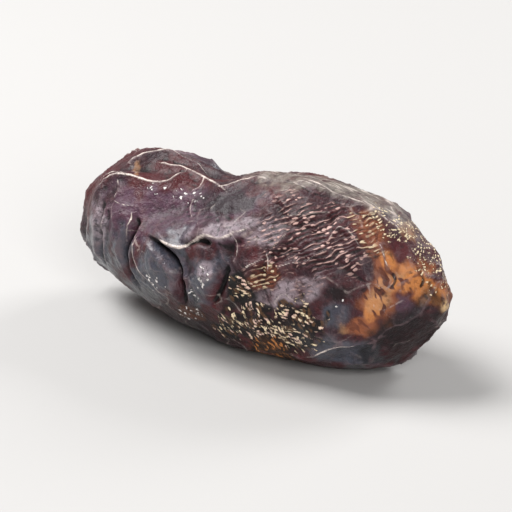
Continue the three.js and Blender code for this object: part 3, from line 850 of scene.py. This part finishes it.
        # Long, short and crosswise crumbs in gold, pink, orange and brown, on a black bed with brown stains
        crumbs, grains = self.look("crumbs"), self.look("grains")
        uneven = 0.6 * (self.middle - 0.5) + 0.3 * (self.small - 0.5)
        bed = self.layer("crumbBed", self.maths("MAXIMUM", crumbs, grains) + uneven)
        self.lay("black", bed * strengths["crumbBed"])
        ragged = 0.5 * (self.grain - 0.5) + 0.4 * (self.small - 0.5)
        self.lay("brown", bed * self.dashed("stains", self.bent, 1, ragged) * strengths["stains"])
        long = self.dashed("longCrumbs", self.bent, crumbs, ragged)
        short = self.dashed("shortCrumbs", self.bent, crumbs, ragged)
        across = self.dashed("grains", self.bent, grains, ragged)
        pieces = self.maths("MAXIMUM", self.maths("MAXIMUM", long, short), across)
        tint = rgb(skin["gold"])
        for colour, layer, value in (
                ("pink", "pinkCrumbs", self.noise(self.place, noises["breaks"])),
                ("orange", "orangeCrumbs", self.look("orange") + self.middle),
                ("brown", "brownCrumbs", self.noise(self.place, noises["crumbStains"]))):
            tint = self.blend(tint, rgb(skin[colour]), self.layer(layer, value))
        self.base = self.blend(self.base, tint, pieces)
        self.emboss("crumbs", pieces)
        self.roughen("crumbBed", bed)

    def tips(self):
        # The stalk's scar in the pit, and the nib
        self.lay("stalk", self.look("stalk") * self.layer("stalk", self.middle))
        self.lay("nib", self.look("nib") * self.layer("nib", self.small))

    def closeSkin(self):
        bump = self.node("ShaderNodeBump", {}, {
            "Strength": skin["bumpStrength"], "Distance": skin["bumpDepth"], "Height": self.relief}, "Normal")
        self.finishWith(self.node("ShaderNodeBsdfPrincipled", {}, {
            "Base Color": self.base, "Roughness": self.roughness, "Normal": bump,
            "Specular IOR Level": skin["gloss"], "Coat Roughness": skin["coatRoughness"],
            "Coat Weight": self.look("blue") * skin["blueCoat"] + skin["coat"],
        }, "BSDF"))


def skinFinish():
    # Dark leathery skin with violet and blue bloom and a partly painted sheen, pale lines on the fold edges
    # that are partly painted highlights, black painted shade in the hollows, an amber patch, a streaky cream
    # band that is partly painted sheen, fine pale flecks, white painted glints, and golden crumbs on black
    finish = SkinFinish()
    for addLayer in (finish.tints, finish.amberPatch, finish.creamBand, finish.shadows, finish.paleLines,
                     finish.fleckRows, finish.specks, finish.crumbPatch, finish.tips, finish.closeSkin):
        addLayer()
    return finish.material


studio = {
    "floorColour": (0.5, 0.49, 0.48, 1.0), "floorRoughness": 0.8, "floorSize": 4.0,
    "skyColour": (1.0, 1.0, 1.0, 1.0), "skyStrength": 0.13,
    "lamps": [
        {"place": (-0.26, -0.06, 0.38), "size": 0.26, "watts": 3.0},
        {"place": (0.06, 0.38, 0.26), "size": 0.20, "watts": 1.2},
        {"place": (0.34, -0.26, 0.24), "size": 0.20, "watts": 1.6},
    ],
    "lens": 250.0, "frameWidth": 0.056, "aim": (0, 0, 0.0095), "farthest": 10,
}


def makeStudio():
    # A wide pale floor, a dim even sky, and soft square lamps turned to the date. Gives the floor
    mesh = bpy.data.meshes.new("floor")
    half = studio["floorSize"] / 2
    corners = [(-half, -half, 0), (half, -half, 0), (half, half, 0), (-half, half, 0)]
    mesh.from_pydata(corners, [], [(0, 1, 2, 3)])
    floor = bpy.data.objects.new("floor", mesh)
    bpy.context.collection.objects.link(floor)
    material = bpy.data.materials.new("paleFloor")
    material.use_nodes = True
    shader = material.node_tree.nodes["Principled BSDF"]
    shader.inputs["Base Color"].default_value = studio["floorColour"]
    shader.inputs["Roughness"].default_value = studio["floorRoughness"]
    mesh.materials.append(material)
    world = bpy.data.worlds.new("studio")
    bpy.context.scene.world = world
    world.use_nodes = True
    background = world.node_tree.nodes["Background"]
    background.inputs["Color"].default_value = studio["skyColour"]
    background.inputs["Strength"].default_value = studio["skyStrength"]
    for lamp in studio["lamps"]:
        light = bpy.data.lights.new("lamp", "AREA")
        light.energy = lamp["watts"]
        light.size = lamp["size"]
        holder = bpy.data.objects.new("lamp", light)
        holder.location = lamp["place"]
        holder.rotation_euler = (-Vector(lamp["place"])).to_track_quat("-Z", "Y").to_euler()
        bpy.context.collection.objects.link(holder)
    bpy.context.scene.view_settings.view_transform = "Standard"
    return floor


def makeCamera():
    # A long lens at the angle that the folds are drawn from, far enough for the frame's width
    camera = bpy.data.cameras.new("camera")
    camera.lens = studio["lens"]
    camera.clip_end = studio["farthest"]
    distance = studio["frameWidth"] * camera.lens / camera.sensor_width
    holder = bpy.data.objects.new("camera", camera)
    holder.location = Vector(studio["aim"]) + distance * Vector(toViewer)
    holder.rotation_euler = Vector(toViewer).to_track_quat("Z", "Y").to_euler()
    bpy.context.collection.objects.link(holder)
    bpy.context.scene.camera = holder


makeCamera()
points, quads, looks = skinMesh()
print("skin worked out:", len(points), "points,", len(quads), "faces")
date = makePiece("dateSkin", inMetres(points), quads, looks, skinFinish())
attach(date, "root")
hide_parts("date")
print("date made")
makeStudio()
print("studio made")
